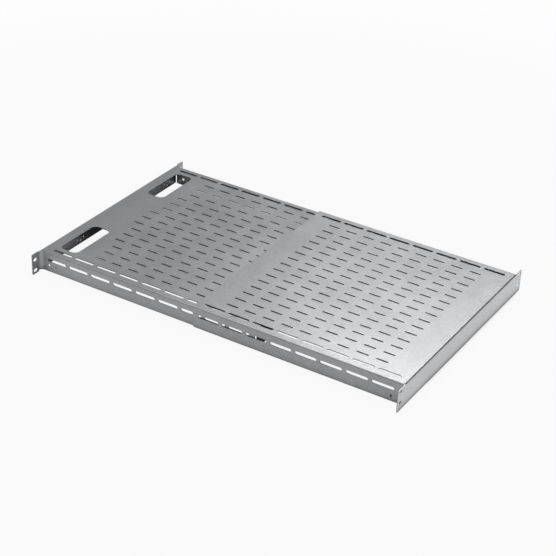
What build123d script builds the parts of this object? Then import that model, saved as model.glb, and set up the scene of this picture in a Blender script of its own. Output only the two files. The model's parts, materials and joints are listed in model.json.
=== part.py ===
from build123d import *
import os

os.makedirs("parts", exist_ok=True)

# Adjustable four-post rack shelf, one rack unit high, drawn out to its longest.
# X runs across the shelf, Y from the front posts to the rear posts, Z up.
# The origin is under the middle of the drawn-out shelf.

# Folded sheet
sheet = 1.5
bend_inside = 1.5
ear_bend_inside = 8.0
corner_gap = 0.5
ear_bend_gap = 0.8

# Rack fit
ear_to_ear = 482.6
ear_reach = 22.3
ear_hole_inset = 8.75
ear_hole_length = 10.0
ear_hole_width = 6.8
ear_hole_rise = 22.2
ear_corner_radius = 2.0

# Heights above the surface that the shelf stands on
shelf_height = 44.0
ear_drop = 0.9
outer_flange_bottom = 2.2
inner_flange_bottom = 3.2
flange_corner_radius = 4.5
front_hole_height = 14.7
rear_hole_height = 6.7

# Tray sizes
outer_length = 422.0
inner_length = 477.0

# How the trays nest and how far they draw out
slide_gap = 0.5
nose_gap = 0.7
travel = 288.0

# Short vent slots in the decks
vent_row_pitch = 25.4
vent_side_margin = 16.0
vent_end_margin = 40.0
vent_pitch = 37.5
vent_length = 23.5
vent_width = 3.5
outer_vent_start = 53.5
inner_vent_start = 74.0
inner_vent_step = 12.5
inner_vent_rows_in_step = 3

# Long slots along the deck edges and windows in the side flanges
edge_slot_inset = 16.5
edge_slot_end_margin = 8.0
edge_slot_length = 43.3
edge_slot_width = 6.0
outer_edge_slot_start = 15.8
outer_edge_slot_pitch = 49.8
outer_window_start = 18.8
inner_edge_slot_start = 21.4
inner_edge_slot_pitch = 50.2
inner_window_start = 17.5
window_height = 27.2
window_width = 6.0

# Hand holes at the rear of the inner deck
hand_hole_side_margin = 30.0
hand_hole_width = 106.0
hand_hole_start = 24.0
hand_hole_depth = 39.0
hand_hole_radius = 11.0

# Small round holes
side_hole_diameter = 5.0
outer_side_hole_setback = 24.3
outer_side_hole_height = 12.5
inner_side_hole_setback = 21.0
inner_side_hole_height = 16.0
cluster_hole_diameter = 3.6
cluster_radius = 13.0
cluster_holes = 8
cluster_insets = (2.5, 90.5)

# Flat facets that stand for each half-round slot end, and for each small round hole
outer_vent_facets = 3
inner_vent_facets = 2
edge_slot_facets = 3
cluster_hole_facets = 6

# Worked-out sizes
bend_outside = bend_inside + sheet
corner_relief = bend_outside
retracted_depth = inner_length + nose_gap + sheet
extended_depth = retracted_depth + travel
front_y = -extended_depth / 2
rear_y = extended_depth / 2
outer_width = ear_to_ear - 2 * ear_reach
ear_hole_spacing = ear_to_ear - 2 * ear_hole_inset
outer_top = shelf_height
inner_top = outer_top - sheet - slide_gap
inner_width = outer_width - 2 * (sheet + slide_gap)
edge_slot_offset = outer_width / 2 - edge_slot_inset
rows_each_side = int((edge_slot_offset - vent_side_margin) // vent_row_pitch)
hand_hole_outside = outer_width / 2 - hand_hole_side_margin


def block(x_from, x_to, y_from, y_to, z_from, z_to):
    """Give a box by its six faces."""
    middle = ((x_from + x_to) / 2, (y_from + y_to) / 2, (z_from + z_to) / 2)
    return Pos(*middle) * Box(x_to - x_from, y_to - y_from, z_to - z_from)


def folded(across, top, bottom, corners):
    """Give the section of a sheet folded down at one edge or at both, with the fold at the top.

    `corners` holds -1 for a fold on the low side of the section and 1 for one on the high side.
    """
    low, high = across
    inner_low = low + (sheet if -1 in corners else -sheet)
    inner_high = high - (sheet if 1 in corners else -sheet)
    outline = Pos((low + high) / 2, (top + bottom) / 2) * Rectangle(high - low, top - bottom)
    hollow = Pos((inner_low + inner_high) / 2, (top + bottom) / 2 - sheet) * Rectangle(
        inner_high - inner_low, top - bottom
    )
    ends = {-1: 0, 1: -1}
    for side in corners:
        edge = outline.vertices().group_by(Axis.Y)[-1].sort_by(Axis.X)[ends[side]]
        outline = fillet(edge, bend_outside)
        edge = hollow.vertices().group_by(Axis.Y)[-1].sort_by(Axis.X)[ends[side]]
        hollow = fillet(edge, bend_inside)
    return outline - hollow


def channel(width, top, bottom, y_from, y_to):
    """Give a deck with a flange folded down along each side, from y_from to y_to."""
    section = folded((-width / 2, width / 2), top, bottom, (-1, 1))
    plane = Plane(origin=(0, y_to, 0), x_dir=(1, 0, 0), z_dir=(0, -1, 0))
    return extrude(plane * section, y_to - y_from)


def end_flange(half_width, top, bottom, y_from, y_to, end):
    """Give a flange folded down across one end of a deck; end is -1 at the front, 1 at the rear."""
    section = folded((y_from, y_to), top, bottom, (end,))
    plane = Plane(origin=(-half_width, 0, 0), x_dir=(0, 1, 0), z_dir=(1, 0, 0))
    return extrude(plane * section, 2 * half_width)


def run_of_slots(start, pitch, length, end):
    """Give the middles of a run of slots that starts at `start` and fits before `end`."""
    count = int((end - start + pitch - length) // pitch)
    return [start + length / 2 + pitch * place for place in range(count)]


def slot(length, width, end_facets):
    """Give a slot along X whose half-round ends are made of a few flat facets each."""
    radius = width / 2
    points = []
    for end in (0, 180):
        middle = Vector(length / 2 - radius, 0).rotate(Axis.Z, end)
        for facet in range(end_facets + 1):
            turn = end - 90 + 180 * facet / end_facets
            points.append(middle + Vector(radius, 0).rotate(Axis.Z, turn))
    return make_face(Polyline(*points, close=True))


def deck_cut(places, outline, top):
    """Give upright cutters for slots that run front to rear, through a deck whose face is `top`."""
    turned = Rot(0, 0, 90) * outline
    sketch = Sketch() + [Pos(x, y) * turned for x, y in places]
    return extrude(Pos(0, 0, top - 2 * sheet) * sketch, 3 * sheet)


def flange_cut(places, outline, tray_width):
    """Give cutters for slots that run front to rear, through both side flanges."""
    sketch = Sketch() + [Pos(y, z) * outline for y, z in places]
    plane = Plane(origin=(-tray_width / 2 - sheet, 0, 0), x_dir=(0, 1, 0), z_dir=(1, 0, 0))
    return extrude(plane * sketch, tray_width + 2 * sheet)


def round_cut_across(y, z, diameter, tray_width):
    """Give a round cutter through both side flanges."""
    plane = Plane(origin=(-tray_width / 2 - sheet, y, z), x_dir=(0, 1, 0), z_dir=(1, 0, 0))
    return extrude(plane * Circle(diameter / 2), tray_width + 2 * sheet)


def ear_holes(y_from, y_to, lower_height):
    """Give cutters for the four oblong rack holes of one pair of ears."""
    sketch = Sketch() + [
        Pos(side * ear_hole_spacing / 2, lower_height + rise)
        * SlotOverall(ear_hole_length, ear_hole_width)
        for side in (-1, 1)
        for rise in (0, ear_hole_rise)
    ]
    plane = Plane(origin=(0, y_to, 0), x_dir=(1, 0, 0), z_dir=(0, -1, 0))
    return extrude(plane * sketch, y_to - y_from)


def rounded_ear(inside, top, bottom, side):
    """Give the outline of one ear, square where it joins the tray and rounded at its free end."""
    middle = side * (inside + ear_to_ear / 2) / 2
    ear = Pos(middle, (top + bottom) / 2) * Rectangle(ear_to_ear / 2 - inside, top - bottom)
    free_end = ear.vertices().group_by(Axis.X)[-1 if side > 0 else 0]
    return fillet(free_end, ear_corner_radius)


def make_outer_tray():
    """Fold the outer tray: deck, side flanges, and a front flange that runs out into the ears."""
    half = outer_width / 2
    tray_front = front_y
    tray_rear = front_y + outer_length
    bend_half = half - corner_relief

    tray = channel(outer_width, outer_top, outer_flange_bottom, tray_front + corner_relief, tray_rear)
    tray += end_flange(bend_half, outer_top, 0, tray_front, tray_front + corner_relief, -1)
    flange_nose = tray_front + sheet + corner_gap
    for side in (-1, 1):
        low, high = sorted((side * half, side * (half - sheet)))
        tray += block(
            low, high, flange_nose, tray_front + corner_relief,
            outer_flange_bottom, outer_top - corner_relief,
        )

    strip_top = outer_top - corner_relief
    face = Pos(0, strip_top / 2) * Rectangle(outer_width, strip_top)
    for side in (-1, 1):
        face += rounded_ear(bend_half + corner_gap, outer_top - ear_drop, 0, side)
    plane = Plane(origin=(0, tray_front + sheet, 0), x_dir=(1, 0, 0), z_dir=(0, -1, 0))
    tray += extrude(plane * face, sheet)

    rows = [vent_row_pitch * row for row in range(-rows_each_side, rows_each_side + 1)]
    vents_end = outer_length - vent_end_margin
    columns = run_of_slots(outer_vent_start, vent_pitch, vent_length, vents_end)
    vents = [(x, tray_front + y) for x in rows for y in columns]
    tray -= deck_cut(vents, slot(vent_length, vent_width, outer_vent_facets), outer_top)

    slots_end = outer_length - edge_slot_end_margin
    run = run_of_slots(outer_edge_slot_start, outer_edge_slot_pitch, edge_slot_length, slots_end)
    edges = [(x, tray_front + y) for x in (-edge_slot_offset, edge_slot_offset) for y in run]
    tray -= deck_cut(edges, slot(edge_slot_length, edge_slot_width, edge_slot_facets), outer_top)

    run = run_of_slots(outer_window_start, outer_edge_slot_pitch, edge_slot_length, slots_end)
    windows = [(tray_front + y, window_height) for y in run]
    window = slot(edge_slot_length, window_width, edge_slot_facets)
    tray -= flange_cut(windows, window, outer_width)

    tray -= round_cut_across(
        tray_front + outer_side_hole_setback, outer_side_hole_height, side_hole_diameter, outer_width
    )
    tray -= ear_holes(tray_front - sheet, tray_front + 2 * sheet, front_hole_height)

    lower_edges = tray.edges().filter_by(Axis.X).filter_by_position(
        Axis.Z, outer_flange_bottom - sheet / 2, outer_flange_bottom + sheet / 2
    )
    return fillet(lower_edges.group_by(Axis.Y)[-1], flange_corner_radius)


def ear_and_bend(side):
    """Give a rear ear with the wide bend that turns it out from the inner tray's side flange."""
    half = inner_width / 2
    bend_out = ear_bend_inside + sheet
    centre_x = half + ear_bend_inside
    centre_y = rear_y - bend_out
    ring = Circle(bend_out) - Circle(ear_bend_inside)
    quarter = ring & (Pos(-bend_out / 2, bend_out / 2) * Rectangle(bend_out, bend_out))
    bend = extrude(Pos(centre_x, centre_y) * quarter, inner_top)

    ear = rounded_ear(centre_x, inner_top, 0, 1)
    plane = Plane(origin=(0, rear_y, 0), x_dir=(1, 0, 0), z_dir=(0, -1, 0))
    piece = bend + extrude(plane * ear, sheet)
    piece -= block(
        half - 2 * sheet, centre_x - bend_inside, centre_y - sheet, rear_y + sheet,
        -sheet, inner_flange_bottom,
    )
    return piece if side > 0 else mirror(piece, Plane.YZ)


def half_width_beside_ear_bend(y):
    """Give how far a rear ear's bend is from the middle of the inner tray at depth `y`."""
    bend_out = ear_bend_inside + sheet
    into_bend = y - (rear_y - bend_out)
    return inner_width / 2 + ear_bend_inside - (bend_out**2 - into_bend**2) ** 0.5


def vents_of_inner_tray():
    """Give the middles of the inner tray's vents, whose runs reach further back row by row."""
    vents = []
    vents_end = inner_length - vent_end_margin
    for row in range(-rows_each_side, rows_each_side + 1):
        steps_back = (abs(row) + 1) // inner_vent_rows_in_step
        start = inner_vent_start + inner_vent_step * steps_back
        for middle in run_of_slots(start, vent_pitch, vent_length, vents_end):
            vents.append((vent_row_pitch * row, rear_y - middle))
    return vents


def hand_holes():
    """Give cutters for the two hand holes behind the vents."""
    hole = RectangleRounded(hand_hole_width, hand_hole_depth, hand_hole_radius)
    middle_x = hand_hole_outside - hand_hole_width / 2
    middle_y = rear_y - hand_hole_start - hand_hole_depth / 2
    sketch = Sketch() + [Pos(side * middle_x, middle_y) * hole for side in (-1, 1)]
    return extrude(Pos(0, 0, inner_top - 2 * sheet) * sketch, 3 * sheet)


def rear_flange_holes():
    """Give cutters for the clusters of small holes in the rear flange, each a ring about one hole."""
    height = (inner_top + inner_flange_bottom) / 2
    hole = RegularPolygon(cluster_hole_diameter / 2, cluster_hole_facets)
    cluster = hole + PolarLocations(cluster_radius, cluster_holes) * hole
    places = [side * (hand_hole_outside - inset) for side in (-1, 1) for inset in cluster_insets]
    sketch = Sketch() + [Pos(x, height) * cluster for x in places]
    plane = Plane(origin=(0, rear_y + sheet, 0), x_dir=(1, 0, 0), z_dir=(0, -1, 0))
    return extrude(plane * sketch, 3 * sheet)


def make_inner_tray():
    """Fold the inner tray: deck, side flanges, end flanges, and ears at the rear."""
    tray_front = rear_y - inner_length
    half = inner_width / 2
    bend_half = half - corner_relief
    ear_bend_depth = ear_bend_inside + sheet

    channel_rear = rear_y - ear_bend_depth
    tray = channel(
        inner_width, inner_top, inner_flange_bottom, tray_front + corner_relief, channel_rear
    )
    tray += end_flange(
        bend_half, inner_top, inner_flange_bottom, tray_front, tray_front + corner_relief, -1
    )
    rear_half = half - sheet - corner_gap
    tray += end_flange(rear_half, inner_top, inner_flange_bottom, channel_rear, rear_y, 1)
    flange_front = rear_y - bend_outside
    flange_half = half_width_beside_ear_bend(flange_front) - ear_bend_gap
    tray += end_flange(flange_half, inner_top, inner_flange_bottom, flange_front, rear_y, 1)
    for side in (-1, 1):
        tray += ear_and_bend(side)

    vent = slot(vent_length, vent_width, inner_vent_facets)
    tray -= deck_cut(vents_of_inner_tray(), vent, inner_top)

    slots_end = inner_length - edge_slot_end_margin
    run = run_of_slots(inner_edge_slot_start, inner_edge_slot_pitch, edge_slot_length, slots_end)
    edges = [(x, rear_y - y) for x in (-edge_slot_offset, edge_slot_offset) for y in run]
    tray -= deck_cut(edges, slot(edge_slot_length, edge_slot_width, edge_slot_facets), inner_top)

    run = run_of_slots(inner_window_start, inner_edge_slot_pitch, edge_slot_length, slots_end)
    windows = [(rear_y - y, window_height) for y in run]
    window = slot(edge_slot_length, window_width, edge_slot_facets)
    tray -= flange_cut(windows, window, inner_width)

    tray -= round_cut_across(
        rear_y - inner_side_hole_setback, inner_side_hole_height, side_hole_diameter, inner_width
    )
    tray -= hand_holes()
    tray -= rear_flange_holes()
    tray -= ear_holes(rear_y - 2 * sheet, rear_y + sheet, rear_hole_height)
    return tray


outer_tray = make_outer_tray()
inner_tray = make_inner_tray()

export_step(outer_tray, "parts/outer_tray.step")
export_step(inner_tray, "parts/inner_tray.step")
print("outer", outer_tray.is_valid, len(outer_tray.solids()), outer_tray.volume)
print("inner", inner_tray.is_valid, len(inner_tray.solids()), inner_tray.volume)
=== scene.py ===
"""Looks of the adjustable rack shelf: satin paint on two folded trays, in a pale studio.

The trays come from the CAD frame and keep their shapes. This file paints them, lights them and
looks at them from the photograph's angle. Lengths are in metres unless a name says otherwise.
"""

import json
import logging
import math
from dataclasses import dataclass
from enum import Enum
from typing import Any, Sequence

import bpy
from mathutils import Euler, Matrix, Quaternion, Vector

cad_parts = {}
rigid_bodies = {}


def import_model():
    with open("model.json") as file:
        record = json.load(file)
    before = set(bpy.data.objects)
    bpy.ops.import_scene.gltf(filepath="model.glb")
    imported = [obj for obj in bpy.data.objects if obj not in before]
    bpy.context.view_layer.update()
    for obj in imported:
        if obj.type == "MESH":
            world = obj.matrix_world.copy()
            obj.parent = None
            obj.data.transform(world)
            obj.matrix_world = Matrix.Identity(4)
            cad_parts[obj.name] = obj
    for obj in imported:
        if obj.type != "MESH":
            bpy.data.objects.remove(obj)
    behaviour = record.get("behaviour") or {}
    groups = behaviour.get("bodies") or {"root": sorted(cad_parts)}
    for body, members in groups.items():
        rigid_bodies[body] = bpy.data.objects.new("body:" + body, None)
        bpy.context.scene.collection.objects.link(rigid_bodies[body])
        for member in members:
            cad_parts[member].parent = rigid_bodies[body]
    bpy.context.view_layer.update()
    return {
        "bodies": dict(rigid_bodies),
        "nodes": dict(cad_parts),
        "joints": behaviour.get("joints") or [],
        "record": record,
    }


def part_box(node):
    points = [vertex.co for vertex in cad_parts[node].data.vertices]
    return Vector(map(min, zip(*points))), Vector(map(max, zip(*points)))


LOG = logging.getLogger("rack_shelf")
MM = 0.001

Colour = tuple[float, float, float, float]
Point = tuple[float, float, float]
WHITE: Colour = (1.0, 1.0, 1.0, 1.0)
MIDDLE = 0.5
MIX_SHARE, MIX_UNDER, MIX_OVER, MIX_COLOUR = 0, 6, 7, 2


class TrayNode(str, Enum):
    """The CAD nodes of the two trays."""

    OUTER = "outer_tray"
    INNER = "inner_tray"


class SeenBy(str, Enum):
    """Who looks at the pale surroundings."""

    EYE = "Is Camera Ray"
    METAL = "Is Glossy Ray"
    GLASS = "Is Transmission Ray"


class Socket:
    """An output socket of a shader tree, with arithmetic that adds Math nodes."""

    def __init__(self, tree: "ShaderTree", output: bpy.types.NodeSocket) -> None:
        """Wrap one output socket.

        Args:
            tree: The tree that holds the socket.
            output: The socket itself.
        """
        self.tree = tree
        self.output = output

    def _math(self, operation: str, *values: "Socket | float") -> "Socket":
        """Add a Math node.

        Args:
            operation: Name of the node's operation.
            *values: The node's values, in order.

        Returns:
            The node's value.
        """
        return self.tree.add("ShaderNodeMath", {"operation": operation}, dict(enumerate(values)))

    def __add__(self, other: "Socket | float") -> "Socket":
        """Add."""
        return self._math("ADD", self, other)

    def __radd__(self, other: float) -> "Socket":
        """Add to a number."""
        return self._math("ADD", other, self)

    def __sub__(self, other: "Socket | float") -> "Socket":
        """Subtract."""
        return self._math("SUBTRACT", self, other)

    def __rsub__(self, other: float) -> "Socket":
        """Subtract from a number."""
        return self._math("SUBTRACT", other, self)

    def __mul__(self, other: "Socket | float") -> "Socket":
        """Multiply."""
        return self._math("MULTIPLY", self, other)

    def __rmul__(self, other: float) -> "Socket":
        """Multiply a number."""
        return self._math("MULTIPLY", other, self)

    def __abs__(self) -> "Socket":
        """Drop the sign."""
        return self._math("ABSOLUTE", self)

    def or_more(self, other: "Socket | float") -> "Socket":
        """Give the larger of this value and another."""
        return self._math("MAXIMUM", self, other)

    def within(self, low: float, high: float) -> "Socket":
        """Keep this value between two numbers."""
        return self._math("MINIMUM", self.or_more(low), high)

    def rise(self, low: float, high: float) -> "Socket":
        """Turn this value into a smooth mask.

        Args:
            low: Value where the mask leaves 0.
            high: Value where the mask reaches 1. It may be below `low`.

        Returns:
            The mask.
        """
        settings = {"interpolation_type": "SMOOTHSTEP"}
        return self.tree.add(
            "ShaderNodeMapRange", settings, {"Value": self, "From Min": low, "From Max": high}
        )


class ShaderTree:
    """The node tree of a material or of the world."""

    def __init__(self, owner: bpy.types.Material | bpy.types.World) -> None:
        """Empty the owner's node tree and wrap it.

        Args:
            owner: The material or world.
        """
        owner.use_nodes = True
        self.nodes = owner.node_tree.nodes
        self.links = owner.node_tree.links
        self.nodes.clear()

    def node(
        self, kind: str, settings: dict[str, Any] | None, inputs: dict[str | int, Any] | None
    ) -> bpy.types.Node:
        """Make one node.

        Args:
            kind: Blender's name of the node's type.
            settings: Attributes of the node, set first.
            inputs: Values or sockets, by the name or number of the node's own sockets.

        Returns:
            The node.
        """
        node = self.nodes.new(kind)
        for name, value in (settings or {}).items():
            setattr(node, name, value)
        for name, value in (inputs or {}).items():
            if isinstance(value, Socket):
                self.links.new(value.output, node.inputs[name])
            else:
                node.inputs[name].default_value = value
        return node

    def add(
        self,
        kind: str,
        settings: dict[str, Any] | None = None,
        inputs: dict[str | int, Any] | None = None,
        output: str | int = 0,
    ) -> Socket:
        """Add one node for one of its outputs.

        Args:
            kind: Blender's name of the node's type.
            settings: Attributes of the node, set first.
            inputs: Values or sockets, by the name or number of the node's own sockets.
            output: Name or number of the wanted output.

        Returns:
            The wanted output.
        """
        return Socket(self, self.node(kind, settings, inputs).outputs[output])

    def part(self, vector: Socket, axis: str) -> Socket:
        """Give a vector's part along an axis."""
        return self.add("ShaderNodeSeparateXYZ", inputs={0: vector}, output=axis)

    def openness(self, samples: int, reach: float) -> Socket:
        """Give how open the surface is to what lies within a reach."""
        inputs = {"Distance": reach}
        return self.add("ShaderNodeAmbientOcclusion", {"samples": samples}, inputs, "AO")

    def finish(self, kind: str, shader: Socket) -> None:
        """Show a shader.

        Args:
            kind: Blender's name of the output node's type.
            shader: The shader to show.
        """
        self.node(kind, None, {"Surface": shader})


@dataclass(frozen=True)
class Mark:
    """One kind of unevenness in the coat.

    Attributes:
        size: Size of its features.
        detail: Octaves of finer noise in it.
        in_shade: How much it changes the colour.
        in_roughness: How much it changes the roughness.
        in_relief: How much it raises the surface, as a share of the orange peel.
        blend: Strength of each finer octave against the one before it.
    """

    size: float
    detail: float
    in_shade: float = 0.0
    in_roughness: float = 0.0
    in_relief: float = 0.0
    blend: float = 0.55

    def swing(self, tree: ShaderTree, place: Socket) -> Socket:
        """Add the mark's noise.

        Args:
            tree: The paint's tree.
            place: Where the surface is.

        Returns:
            The noise, about 0.
        """
        inputs = {
            "Vector": place,
            "Scale": 1.0 / self.size,
            "Detail": self.detail,
            "Roughness": self.blend,
        }
        return tree.add("ShaderNodeTexNoise", inputs=inputs) - MIDDLE


@dataclass(frozen=True)
class SatinPaint:
    """Silver grey satin powder coat, baked on steel sheet.

    Attributes:
        shade: Colour of the coat where it is darkest.
        light: Colour of the coat where it is lightest.
        rubbed: Colour that handling leaves on the cut edges.
        grime_and_shade: Colour of the spot welds' stain and of the painted shade in corners and
            slots.
        metallic: Share of the coat that shines as metal does.
        roughness: Middle roughness.
        peel: The coat's orange peel.
        mottle: The fine mottle in its colour.
        smudge: The handling marks.
        cloud: The broad changes of shade.
        relief: Height of the orange peel.
        relief_strength: How strongly the relief turns the surface.
        edge_round: Rounding of the sheet's cut edges.
        edge_turn: Cosines of the turn at an edge between which it becomes rubbed.
        edge_wear: How much of the rubbed colour a cut edge shows.
        edge_polish: How much smoother a cut edge is.
        corner_reach: How far a corner is looked into for its painted shade.
        corner_open: Openness between which a corner takes the painted shade.
        painted_shade_strength: How strongly the painted shade darkens corners and slot walls.
        recess_matt: How much rougher the coat is in the corners and slot walls.
        wall_upright: Upward part of the normal between which a face becomes an upright wall.
        wall_edge: Width over which the deck's walls end at its bends.
        weld_radius: Distances from a spot weld's middle between which it shows.
        weld_stain: How strongly a spot weld is stained dark.
        weld_dent: How deep a spot weld is, as a share of the relief.
        samples: Rays that look for edges and corners.
    """

    shade: Point = (0.382, 0.387, 0.398)
    light: Point = (0.718, 0.725, 0.739)
    rubbed: Point = (0.750, 0.752, 0.758)
    # Dark colour of the weld stains and of the painted shade in corners and slots.
    grime_and_shade: Point = (0.075, 0.074, 0.072)
    metallic: float = 0.9
    roughness: float = 0.32
    peel: Mark = Mark(1.3 * MM, detail=1.0)
    mottle: Mark = Mark(3.2 * MM, detail=2.0, in_shade=0.7, in_roughness=0.06, in_relief=0.5)
    smudge: Mark = Mark(38 * MM, detail=3.0, in_shade=0.3, in_roughness=0.07)
    cloud: Mark = Mark(150 * MM, detail=1.0, in_shade=0.35, in_roughness=0.04)
    relief: float = 0.08 * MM
    relief_strength: float = 0.5
    edge_round: float = 0.5 * MM
    edge_turn: tuple[float, float] = (0.995, 0.80)
    edge_wear: float = 0.4
    edge_polish: float = 0.05
    corner_reach: float = 14 * MM
    corner_open: tuple[float, float] = (0.80, 0.35)
    # Strength of the painted shade in the corners and slot walls.
    painted_shade_strength: float = 0.8
    recess_matt: float = 0.12
    wall_upright: tuple[float, float] = (0.5, 0.2)
    wall_edge: float = 0.2 * MM
    weld_radius: tuple[float, float] = (3.4 * MM, 1.8 * MM)
    weld_stain: float = 0.35
    weld_dent: float = 3.0
    samples: int = 6

    def material(self, tray: "FoldedTray") -> bpy.types.Material:
        """Make the paint of one tray.

        Args:
            tray: The tray.

        Returns:
            The material.
        """
        material = bpy.data.materials.new(f"satin_paint_{tray.node.value}")
        tree = ShaderTree(material)
        place = tree.add("ShaderNodeTexCoord", output="Object")
        moved = tree.add(
            "ShaderNodeVectorMath", {"operation": "ADD"}, {0: place, 1: tray.apart}, "Vector"
        )
        peel, mottle, smudge, cloud = (
            mark.swing(tree, moved) for mark in (self.peel, self.mottle, self.smudge, self.cloud)
        )
        edge = self._edges(tree)
        # Painted shade: mask of the closed inside corners and the slots' upright walls.
        painted_shade = self._corners(tree).or_more(self._slot_walls(tree, place, tray.deck()))
        weld = self._welds(tree, place, tray.weld_marks())

        shade, light, rubbed, grime_and_shade = (
            (*colour, 1.0) for colour in (self.shade, self.light, self.rubbed, self.grime_and_shade)
        )
        level = (
            MIDDLE
            + self.mottle.in_shade * mottle
            + self.smudge.in_shade * smudge
            + self.cloud.in_shade * cloud
        )
        coat = self._tint(tree, level.within(0.0, 1.0), shade, light)
        coat = self._tint(tree, self.edge_wear * edge, coat, rubbed)
        coat = self._tint(tree, self.weld_stain * weld, coat, grime_and_shade)
        # Painted shade: the corners and slot walls are darkened here.
        coat = self._tint(tree, self.painted_shade_strength * painted_shade, coat, grime_and_shade)
        roughness = (
            self.roughness
            + self.mottle.in_roughness * mottle
            + self.smudge.in_roughness * smudge
            + self.cloud.in_roughness * cloud
            + self.recess_matt * painted_shade
            - self.edge_polish * edge
        )
        normal = tree.add(
            "ShaderNodeBump",
            inputs={
                "Strength": self.relief_strength,
                "Distance": self.relief,
                "Height": peel + self.mottle.in_relief * mottle - self.weld_dent * weld,
                "Normal": self._rounded(tree),
            },
        )
        shader = tree.add(
            "ShaderNodeBsdfPrincipled",
            inputs={
                "Base Color": coat,
                "Metallic": self.metallic,
                "Roughness": roughness,
                "Normal": normal,
            },
        )
        tree.finish("ShaderNodeOutputMaterial", shader)
        return material

    @staticmethod
    def _tint(
        tree: ShaderTree, share: Socket | float, under: Socket | Colour, over: Socket | Colour
    ) -> Socket:
        """Lay one colour over another.

        Args:
            tree: The paint's tree.
            share: How much of the upper colour shows.
            under: The lower colour.
            over: The upper colour.

        Returns:
            The mixed colour.
        """
        inputs = {MIX_SHARE: share, MIX_UNDER: under, MIX_OVER: over}
        return tree.add("ShaderNodeMix", {"data_type": "RGBA"}, inputs, MIX_COLOUR)

    def _rounded(self, tree: ShaderTree) -> Socket:
        """Give a normal that rounds the cut edges."""
        return tree.add("ShaderNodeBevel", {"samples": self.samples}, {"Radius": self.edge_round})

    def _edges(self, tree: ShaderTree) -> Socket:
        """Mask the cut edges, where the coat is thin and rubbed.

        Args:
            tree: The paint's tree.

        Returns:
            The mask.
        """
        flat = tree.add("ShaderNodeNewGeometry", output="True Normal")
        turn = tree.add(
            "ShaderNodeVectorMath",
            {"operation": "DOT_PRODUCT"},
            {0: flat, 1: self._rounded(tree)},
            "Value",
        )
        return turn.rise(*self.edge_turn)

    def _corners(self, tree: ShaderTree) -> Socket:
        """Mask the inside corners, where the coat is darkened as painted shade.

        Args:
            tree: The paint's tree.

        Returns:
            The mask.
        """
        return tree.openness(self.samples, self.corner_reach).rise(*self.corner_open)

    def _slot_walls(
        self, tree: ShaderTree, place: Socket, deck: Sequence[tuple[float, float]]
    ) -> Socket:
        """Mask the upright walls of the slots in the deck, darkened as painted shade.

        Args:
            tree: The paint's tree.
            place: Where the surface is.
            deck: Lowest and highest X, Y and Z of the deck inside its bends.

        Returns:
            The mask.
        """
        flat = tree.add("ShaderNodeNewGeometry", output="True Normal")
        mask = abs(tree.part(flat, "Z")).rise(*self.wall_upright)
        for axis, (low, high) in zip("XYZ", deck):
            half = (high - low) / 2
            away = abs(tree.part(place, axis) - (low + half))
            mask = mask * away.rise(half, half - self.wall_edge)
        return mask

    def _welds(self, tree: ShaderTree, place: Socket, marks: Sequence[Point]) -> Socket | float:
        """Mask the spot welds.

        Args:
            tree: The paint's tree.
            place: Where the surface is.
            marks: Middle of each weld.

        Returns:
            The mask, or 0 for a tray with no welds.
        """
        mask: Socket | float = 0.0
        for mark in marks:
            away = tree.add(
                "ShaderNodeVectorMath", {"operation": "DISTANCE"}, {0: place, 1: mark}, "Value"
            )
            mask = away.rise(*self.weld_radius).or_more(mask)
        return mask


@dataclass(frozen=True)
class FoldedTray:
    """One folded tray of the shelf.

    Attributes:
        node: The tray's CAD node.
        half_width: Half the width over the side flanges.
        apart: Shift of the paint's pattern, so that no two trays carry the same one.
        bend: Room that a bend takes at the deck's edge.
    """

    node: TrayNode
    half_width: float
    apart: Point
    bend: float = 4 * MM

    def deck(self) -> list[tuple[float, float]]:
        """Measure the deck inside its bends.

        Returns:
            Its lowest and highest X, Y and Z.
        """
        low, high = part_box(self.node.value)
        top = high[2]
        reach = self.half_width - self.bend
        return [
            (-reach, reach),
            (low[1] + self.bend, high[1] - self.bend),
            (top - self.bend, top + self.bend),
        ]

    def weld_marks(self) -> list[Point]:
        """Give the spot welds that show on this tray."""
        return []

    def dress(self, frame: dict[str, Any], paint: SatinPaint) -> None:
        """Paint the tray.

        Args:
            frame: The loaded frame.
            paint: The coat.
        """
        mesh = frame["nodes"][self.node.value].data
        mesh.materials.clear()
        mesh.materials.append(paint.material(self))
        LOG.info("painted %s", self.node.value)


@dataclass(frozen=True)
class InnerTray(FoldedTray):
    """The rear tray, with a spot weld on each side flange near the rear.

    Attributes:
        weld_from_rear: Distance of the welds from the tray's rear face.
        weld_height: Height of the welds.
    """

    weld_from_rear: float = 37 * MM
    weld_height: float = 16 * MM

    def weld_marks(self) -> list[Point]:
        """Give the spot welds of both side flanges.

        Returns:
            The middle of each weld.
        """
        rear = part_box(self.node.value)[1][1]
        return [
            (side * self.half_width, rear - self.weld_from_rear, self.weld_height)
            for side in (-1, 1)
        ]


@dataclass(frozen=True)
class PaleRoom:
    """How pale the floor and the surround are.

    Attributes:
        glow: Share of plain white in what the eye sees of the floor.
        light: Strength of the surround as a light.
        floor_in_metal: How much of the open floor's white the metal reflects.
        front_in_metal: How much of it the metal reflects from in front of the shelf.
        surround_in_metal: How much of the surround's white the metal reflects.
    """

    glow: float = 0.92
    light: float = 0.18
    floor_in_metal: float = 0.27
    front_in_metal: float = 1.0
    surround_in_metal: float = 0.165

    @staticmethod
    def switch(tree: ShaderTree, in_metal: Socket | float) -> Socket:
        """Tell the eye and reflections from plain light.

        Args:
            tree: The floor's or surround's tree.
            in_metal: How much of the white the metal reflects.

        Returns:
            1 for the eye and glass, `in_metal` for metal, and 0 for light.
        """
        eye, metal, glass = (
            tree.add("ShaderNodeLightPath", output=who.value)
            for who in (SeenBy.EYE, SeenBy.METAL, SeenBy.GLASS)
        )
        return eye.or_more(glass).or_more(in_metal * metal)


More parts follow.
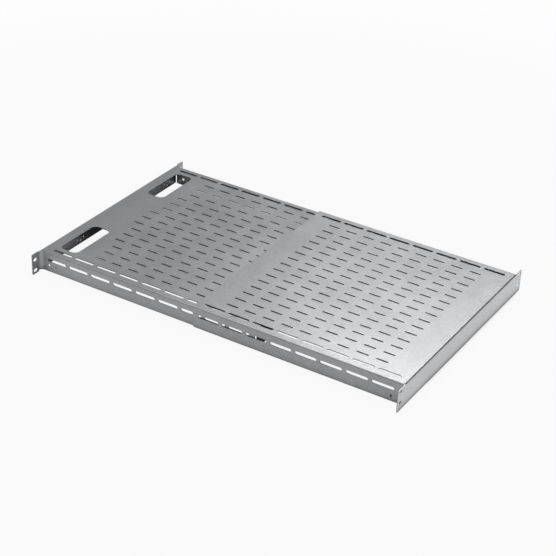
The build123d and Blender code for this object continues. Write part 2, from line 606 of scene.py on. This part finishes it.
@dataclass(frozen=True)
class Surround:
    """The white space around the shelf.

    Attributes:
        room: How pale it is.
    """

    room: PaleRoom

    def build(self) -> None:
        """Make the world."""
        world = bpy.data.worlds.new("surround")
        bpy.context.scene.world = world
        tree = ShaderTree(world)
        white = self.room.switch(tree, self.room.surround_in_metal)
        strength = self.room.light + (1.0 - self.room.light) * white
        shader = tree.add("ShaderNodeBackground", inputs={"Color": WHITE, "Strength": strength})
        tree.finish("ShaderNodeOutputWorld", shader)


@dataclass(frozen=True)
class FloorShade:
    """A part of the floor under the trays that keeps all of its own shade.

    Attributes:
        middle: X and Y of its middle.
        reach: How far it reaches from there, along X and along Y.
        edge: Width over which it fades out.
    """

    middle: tuple[float, float]
    reach: tuple[float, float]
    edge: float

    def mask(self, tree: ShaderTree, place: Socket) -> Socket:
        """Mask this part of the floor.

        Args:
            tree: The floor's tree.
            place: Where the floor's surface is.

        Returns:
            The mask.
        """
        along_x, along_y = (
            abs(tree.part(place, axis) - middle).rise(reach, reach - self.edge)
            for axis, middle, reach in zip("XY", self.middle, self.reach)
        )
        return along_x * along_y


@dataclass(frozen=True)
class Floor:
    """The pale floor that the shelf stands on.

    Attributes:
        room: How pale it is.
        half_width: Half the floor's width.
        drop: How far it lies under the shelf's feet.
        front: Y where the floor in front of the shelf starts.
        front_edge: Width over which it becomes fully pale in the metal.
        fade: Distances from the shelf's middle between which the floor fades to white.
        card: Colour of the floor's card.
        roughness: Roughness of the card.
        specular: How strongly the card shines.
        deep: The shade deep under the deck.
        corner: The shade behind the near front corner.
        cover_height: How high above the floor a tray still covers it.
        cover_open: Openness between which the floor becomes covered.
        samples: Rays that look for a tray above the floor.
    """

    room: PaleRoom
    half_width: float = 9.0
    drop: float = 0.1 * MM
    front: float = -374 * MM
    front_edge: float = 24 * MM
    fade: tuple[float, float] = (0.7, 2.2)
    card: Colour = (0.72, 0.72, 0.72, 1.0)
    roughness: float = 0.9
    specular: float = 0.1
    deep: FloorShade = FloorShade(
        middle=(50 * MM, -15 * MM), reach=(190 * MM, 375 * MM), edge=12 * MM
    )
    corner: FloorShade = FloorShade(
        middle=(-205 * MM, -362 * MM), reach=(12 * MM, 18 * MM), edge=4 * MM
    )
    cover_height: float = 100 * MM
    cover_open: tuple[float, float] = (0.65, 0.40)
    samples: int = 8

    def build(self) -> None:
        """Make the floor."""
        half, low = self.half_width, -self.drop
        corners = [(-half, -half, low), (half, -half, low), (half, half, low), (-half, half, low)]
        floor = plain_sheet("floor", corners)
        floor.data.materials.append(self._material())

    def _material(self) -> bpy.types.Material:
        """Make the floor's card.

        Returns:
            The material.
        """
        material = bpy.data.materials.new("floor_card")
        tree = ShaderTree(material)
        card = tree.add(
            "ShaderNodeBsdfPrincipled",
            inputs={
                "Base Color": self.card,
                "Roughness": self.roughness,
                "Specular IOR Level": self.specular,
            },
        )
        white = tree.add("ShaderNodeEmission", inputs={"Color": WHITE, "Strength": 1.0})
        place = tree.add("ShaderNodeTexCoord", output="Object")
        ahead = tree.part(place, "Y").rise(self.front, self.front - self.front_edge)
        covered = tree.openness(self.samples, self.cover_height).rise(*self.cover_open)
        behind = self.room.floor_in_metal * (1.0 - covered)
        in_metal = behind + (self.room.front_in_metal - behind) * ahead
        away = tree.add("ShaderNodeVectorMath", {"operation": "LENGTH"}, {0: place}, "Value")
        glow = self.room.glow + (1.0 - self.room.glow) * away.rise(*self.fade)
        share = glow * self.room.switch(tree, in_metal)
        for shade in (self.deep, self.corner):
            share = share * (1.0 - covered * shade.mask(tree, place))
        shader = tree.add("ShaderNodeMixShader", inputs={0: share, 1: card, 2: white})
        tree.finish("ShaderNodeOutputMaterial", shader)
        return material


@dataclass(frozen=True)
class DarkFelt:
    """Dark felt that only the metal sees.

    Attributes:
        colour: Its colour.
    """

    colour: Colour = (0.01, 0.01, 0.01, 1.0)

    def sheet(self, name: str, corners: Sequence[Point]) -> bpy.types.Object:
        """Make a sheet of it.

        Args:
            name: The sheet's name.
            corners: Its four corners, in order.

        Returns:
            The sheet's object.
        """
        sheet = plain_sheet(name, corners)
        material = bpy.data.materials.new(f"{name}_felt")
        tree = ShaderTree(material)
        felt = tree.add("ShaderNodeBsdfDiffuse", inputs={"Color": self.colour})
        tree.finish("ShaderNodeOutputMaterial", felt)
        sheet.data.materials.append(material)
        sheet.visible_camera = False
        sheet.visible_diffuse = False
        sheet.visible_shadow = False
        return sheet


@dataclass(frozen=True)
class StudioPanel:
    """Something flat that stands around the shelf and faces it.

    Attributes:
        name: Its name.
        azimuth: Direction from the shelf to it, in degrees from +X towards +Y.
        elevation: Height of that direction, in degrees.
        distance: Distance from the shelf.
        width: Its width.
        height: Its height.
    """

    name: str
    azimuth: float
    elevation: float
    distance: float
    width: float
    height: float

    def face_shelf(self, thing: bpy.types.Object) -> None:
        """Put an object in this place and turn it to the shelf.

        Args:
            thing: The light or card.
        """
        azimuth, elevation = math.radians(self.azimuth), math.radians(self.elevation)
        level = math.cos(elevation)
        away = Vector((level * math.cos(azimuth), level * math.sin(azimuth), math.sin(elevation)))
        thing.location = away * self.distance
        thing.rotation_euler = away.to_track_quat("Z", "Y").to_euler()


@dataclass(frozen=True)
class SoftLight(StudioPanel):
    """A soft box.

    Attributes:
        power: Its power, in watts.
    """

    power: float

    def build(self) -> None:
        """Make the light."""
        data = bpy.data.lights.new(self.name, "AREA")
        data.shape = "RECTANGLE"
        data.size = self.width
        data.size_y = self.height
        data.energy = self.power
        light = bpy.data.objects.new(self.name, data)
        light.visible_camera = False
        bpy.context.scene.collection.objects.link(light)
        self.face_shelf(light)


@dataclass(frozen=True)
class DarkCard(StudioPanel):
    """A standing card of dark felt, whose reflection draws the line along the front bend.

    Attributes:
        felt: Its felt.
    """

    felt: DarkFelt = DarkFelt()

    def build(self) -> None:
        """Make the card."""
        across, up = self.width / 2, self.height / 2
        corners = [(-across, -up, 0), (across, -up, 0), (across, up, 0), (-across, up, 0)]
        self.face_shelf(self.felt.sheet(self.name, corners))


@dataclass(frozen=True)
class DarkMat:
    """A mat of dark felt on the floor in front of the shelf, for the lower part of that line.

    Attributes:
        left: Lowest X.
        right: Highest X.
        front: Lowest Y.
        back: Highest Y, short of the front flange.
        thickness: Its height.
        felt: Its felt.
    """

    left: float = -0.6
    right: float = 2.4
    front: float = -1.4
    back: float = -0.51
    thickness: float = 0.5 * MM
    felt: DarkFelt = DarkFelt()

    def build(self) -> None:
        """Make the mat."""
        plan = [
            (self.left, self.front), (self.right, self.front),
            (self.right, self.back), (self.left, self.back),
        ]
        self.felt.sheet("dark_mat", [(x, y, self.thickness) for x, y in plan])


@dataclass(frozen=True)
class PhotoCamera:
    """The photograph's camera, turned to the middle of the shelf.

    Attributes:
        place: Where it stands.
        heading: Direction of the photograph's middle, in degrees from +Y towards +X.
        dip: How far that direction points down, in degrees.
        roll: Turn of the photograph about its middle, in degrees.
        target: The point that it is turned to.
        lens: Focal length, in millimetres.
        sensor: Width of the sensor, in millimetres.
    """

    place: Point = (-2.1430, -1.2797, 1.4804)
    heading: float = 55.38
    dip: float = 33.47
    roll: float = 0.39
    target: Point = (-0.029, -0.020, 0.030)
    lens: float = 101.0
    sensor: float = 36.0

    def build(self) -> None:
        """Make the camera."""
        data = bpy.data.cameras.new("camera")
        data.lens = self.lens
        data.sensor_width = self.sensor
        camera = bpy.data.objects.new("camera", data)
        level = Euler((math.radians(90.0 - self.dip), 0.0, -math.radians(self.heading)))
        held = level.to_quaternion() @ Quaternion((0.0, 0.0, 1.0), math.radians(self.roll))
        ahead = held @ Vector((0.0, 0.0, -1.0))
        turn = ahead.rotation_difference(Vector(self.target) - Vector(self.place))
        camera.location = self.place
        camera.rotation_euler = (turn @ held).to_euler()
        bpy.context.scene.collection.objects.link(camera)
        bpy.context.scene.camera = camera


@dataclass(frozen=True)
class Studio:
    """Everything around the shelf.

    Attributes:
        room: How pale the surroundings are.
        key: The soft box whose sheen runs over the deck.
        top: The soft box that lights the floor.
        front: The soft box that lights the front flange.
        card: The dark card at the shelf's front right.
        mat: The dark mat in front of the shelf.
        camera: The camera.
    """

    room: PaleRoom = PaleRoom()
    key: SoftLight = SoftLight(
        "key", azimuth=18, elevation=46, distance=4.6, width=1.5, height=1.0, power=25
    )
    top: SoftLight = SoftLight(
        "top", azimuth=120, elevation=86, distance=3.2, width=3.2, height=3.2, power=35
    )
    front: SoftLight = SoftLight(
        "front", azimuth=-90, elevation=28, distance=3.0, width=3.2, height=2.0, power=12
    )
    card: DarkCard = DarkCard(
        "dark_card", azimuth=-27, elevation=20, distance=2.6, width=1.1, height=1.9
    )
    mat: DarkMat = DarkMat()
    camera: PhotoCamera = PhotoCamera()

    def build(self) -> None:
        """Make the studio."""
        pieces = (
            Surround(self.room), Floor(self.room), self.key, self.top, self.front, self.card,
            self.mat, self.camera,
        )
        for piece in pieces:
            piece.build()
            LOG.info("built %s", getattr(piece, "name", type(piece).__name__))
        bpy.context.scene.view_settings.view_transform = "Standard"


def plain_sheet(name: str, corners: Sequence[Point]) -> bpy.types.Object:
    """Make a flat sheet that stands around the shelf.

    Args:
        name: Its name.
        corners: Its four corners, in order.

    Returns:
        The sheet's object.
    """
    mesh = bpy.data.meshes.new(name)
    mesh.from_pydata(corners, [], [(0, 1, 2, 3)])
    sheet = bpy.data.objects.new(name, mesh)
    bpy.context.scene.collection.objects.link(sheet)
    return sheet


def main() -> None:
    """Load the frame, dress the trays and build the studio."""
    logging.basicConfig(level=logging.INFO)
    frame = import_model()

    paint = SatinPaint()
    trays = (
        FoldedTray(TrayNode.OUTER, half_width=219 * MM, apart=(0.0, 0.0, 0.0)),
        InnerTray(TrayNode.INNER, half_width=217 * MM, apart=(3.1, 1.7, 0.4)),
    )
    for tray in trays:
        tray.dress(frame, paint)
    Studio().build()


if __name__ == "__main__":
    main()
